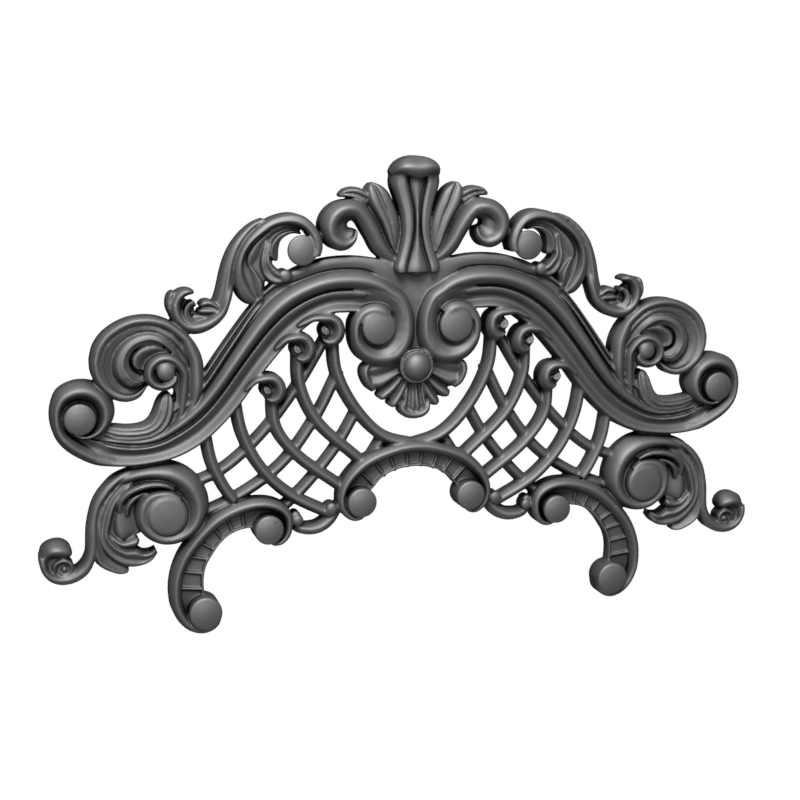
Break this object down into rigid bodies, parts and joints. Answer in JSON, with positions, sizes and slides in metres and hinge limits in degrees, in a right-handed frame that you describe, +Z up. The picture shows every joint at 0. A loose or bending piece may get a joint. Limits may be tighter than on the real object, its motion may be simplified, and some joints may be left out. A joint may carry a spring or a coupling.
{
  "type": "frame onlay",
  "caption": "Openwork scroll onlay carved in relief on a flat back: leaf crest, volutes, pierced lattice, shell and ribbed arches.",
  "frame": {"origin": "on the flat back, on the centre line, behind the ringed ball where the two inner volutes meet", "axes": "+X along the ornament's width, +Y out of the flat back into what it is fixed to, so the carved front faces -Y, +Z up towards the crest"},
  "size_m": [0.6062, 0.025, 0.3772],
  "materials": {
    "carving": "satin charcoal grey"
  },
  "bodies": {
    "root": {"frame_onlay": "carving"}
  },
  "joints": []
}
